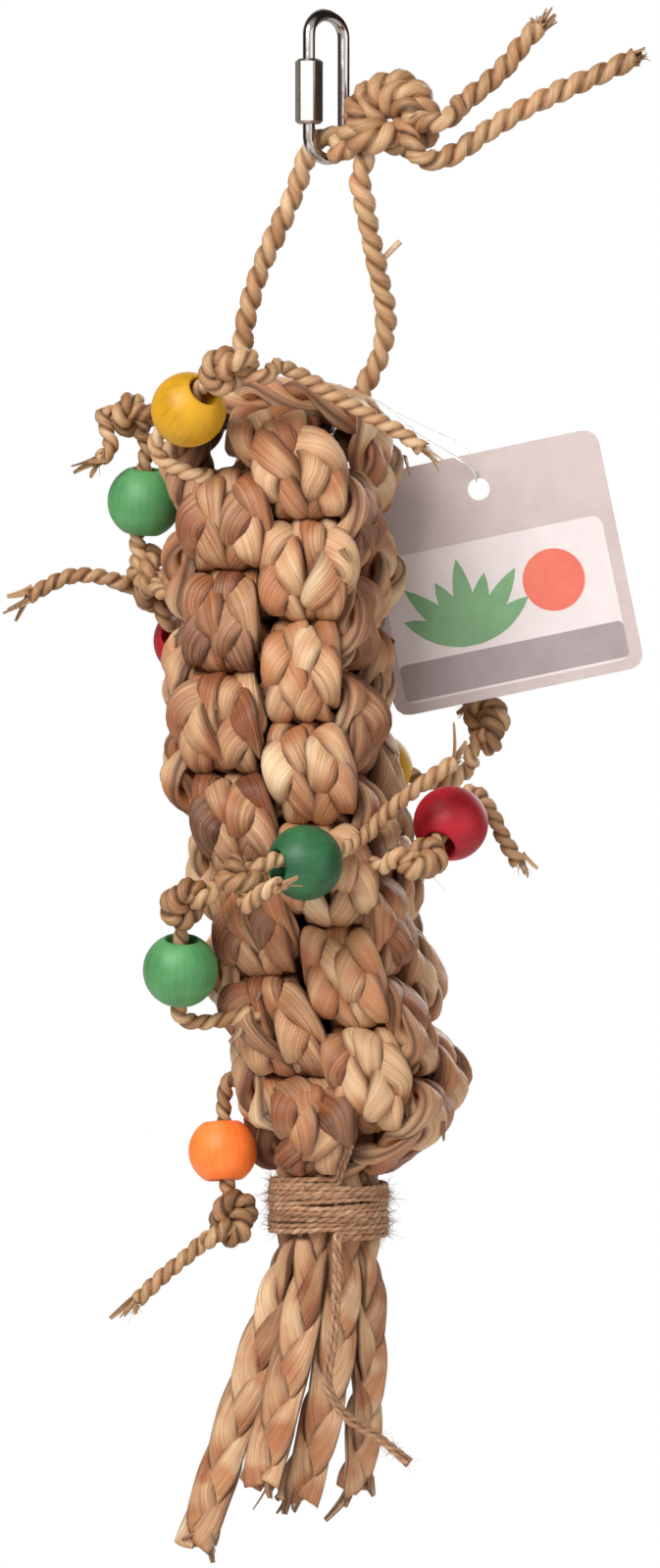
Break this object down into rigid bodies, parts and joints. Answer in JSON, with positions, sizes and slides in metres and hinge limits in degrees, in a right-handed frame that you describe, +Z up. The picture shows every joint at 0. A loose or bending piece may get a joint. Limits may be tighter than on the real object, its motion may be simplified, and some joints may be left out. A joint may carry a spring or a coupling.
{
  "type": "hanging bird toy",
  "caption": "Hanging bird toy: a square knotted column of flat leaf braids with wooden beads on knotted cords, hung by a rope loop from a steel quick link, with a tassel and a card tag.",
  "frame": {"origin": "top of the quick link's eye, where a hook or bar carries the toy", "axes": "+Z up, X to the right across the pictured front, Y away from the viewer"},
  "size_m": [0.1671, 0.1192, 0.4123],
  "materials": {
    "link_steel": "bright zinc plated steel wire",
    "nut_steel": "plated steel, turned",
    "seagrass_rope": "dry twisted seagrass",
    "seagrass_cord": "dry twisted seagrass",
    "hyacinth_braid": "dried flat leaf braid, satin",
    "jute_twine": "hairy spun jute",
    "yellow_wood": "thin satin paint on turned wood",
    "green_wood": "thin satin paint on turned wood",
    "red_wood": "thin satin paint on turned wood",
    "orange_wood": "thin satin paint on turned wood",
    "printed_card": "coated printed card",
    "clear_filament": "clear plastic thread"
  },
  "bodies": {
    "link": {"quick_link": "link_steel"},
    "nut": {"link_nut": "nut_steel"},
    "toy": {"hanging_rope": "seagrass_rope", "braid_front_back_left": "hyacinth_braid", "braid_front_back_right": "hyacinth_braid", "braid_left_right_front": "hyacinth_braid", "braid_left_right_back": "hyacinth_braid", "tail_right_back": "hyacinth_braid", "tail_back_right": "hyacinth_braid", "tail_back_left": "hyacinth_braid", "tail_left_back": "hyacinth_braid", "tail_left": "hyacinth_braid", "tail_middle_left": "hyacinth_braid", "tail_middle_right": "hyacinth_braid", "tail_right": "hyacinth_braid", "twine_binding": "jute_twine", "cord_top": "seagrass_cord", "cord_left": "seagrass_cord", "cord_left_end": "seagrass_cord", "cord_back": "seagrass_cord", "cord_front": "seagrass_cord", "cord_lower": "seagrass_cord", "cord_right": "seagrass_cord", "cord_orange": "seagrass_cord", "tag_loop": "clear_filament"},
    "yellow_top": {"bead_yellow_top": "yellow_wood"},
    "green_left": {"bead_green_left": "green_wood"},
    "red_left": {"bead_red_left": "red_wood"},
    "yellow_back": {"bead_yellow_back": "yellow_wood"},
    "green_middle": {"bead_green_middle": "green_wood"},
    "red_right": {"bead_red_right": "red_wood"},
    "green_lower": {"bead_green_lower": "green_wood"},
    "orange": {"bead_orange": "orange_wood"},
    "tag": {"hang_tag": "printed_card"}
  },
  "joints": [
    {"name": "nut_slide", "type": "slide", "parent": "link", "child": "nut", "axis": [0, 0, 1], "range_m": [0, 0.0065]},
    {"name": "toy_swing", "type": "hinge", "parent": "link", "child": "toy", "pos_m": [0, 0, -0.03675], "axis": [0.6428, 0.766, 0], "range_deg": [-10, 25]},
    {"name": "yellow_top_spin", "type": "hinge", "parent": "toy", "child": "yellow_top", "pos_m": [-0.03653, -0.02976, -0.10537], "axis": [-0.5024, 0.6732, -0.5426], "continuous": true},
    {"name": "green_left_spin", "type": "hinge", "parent": "toy", "child": "green_left", "pos_m": [-0.04904, 0.01057, -0.12842], "axis": [-0.1004, 0.1505, -0.9835], "continuous": true},
    {"name": "red_left_spin", "type": "hinge", "parent": "toy", "child": "red_left", "pos_m": [-0.03721, 0.03761, -0.16559], "axis": [0.4528, 0.8554, -0.2516], "continuous": true},
    {"name": "yellow_back_spin", "type": "hinge", "parent": "toy", "child": "yellow_back", "pos_m": [0.01347, 0.03788, -0.20066], "axis": [0.9283, 0.2063, -0.3094], "continuous": true},
    {"name": "green_middle_spin", "type": "hinge", "parent": "toy", "child": "green_middle", "pos_m": [-0.00565, -0.04391, -0.22534], "axis": [-0.8575, -0.5044, -0.1009], "continuous": true},
    {"name": "red_right_spin", "type": "hinge", "parent": "toy", "child": "red_right", "pos_m": [0.03305, -0.01799, -0.21512], "axis": [0.3599, 0.6597, 0.6597], "continuous": true},
    {"name": "green_lower_spin", "type": "hinge", "parent": "toy", "child": "green_lower", "pos_m": [-0.03873, -0.02664, -0.25403], "axis": [-0.0501, 0.3008, -0.9524], "continuous": true},
    {"name": "orange_spin", "type": "hinge", "parent": "toy", "child": "orange", "pos_m": [-0.02778, -0.00445, -0.3029], "axis": [0.0502, -0.1004, -0.9937], "continuous": true},
    {"name": "tag_swing", "type": "hinge", "parent": "toy", "child": "tag", "pos_m": [0.0412, 0.0245, -0.1224], "axis": [0.9739, -0.1024, 0.2028], "range_deg": [0, 28]}
  ]
}
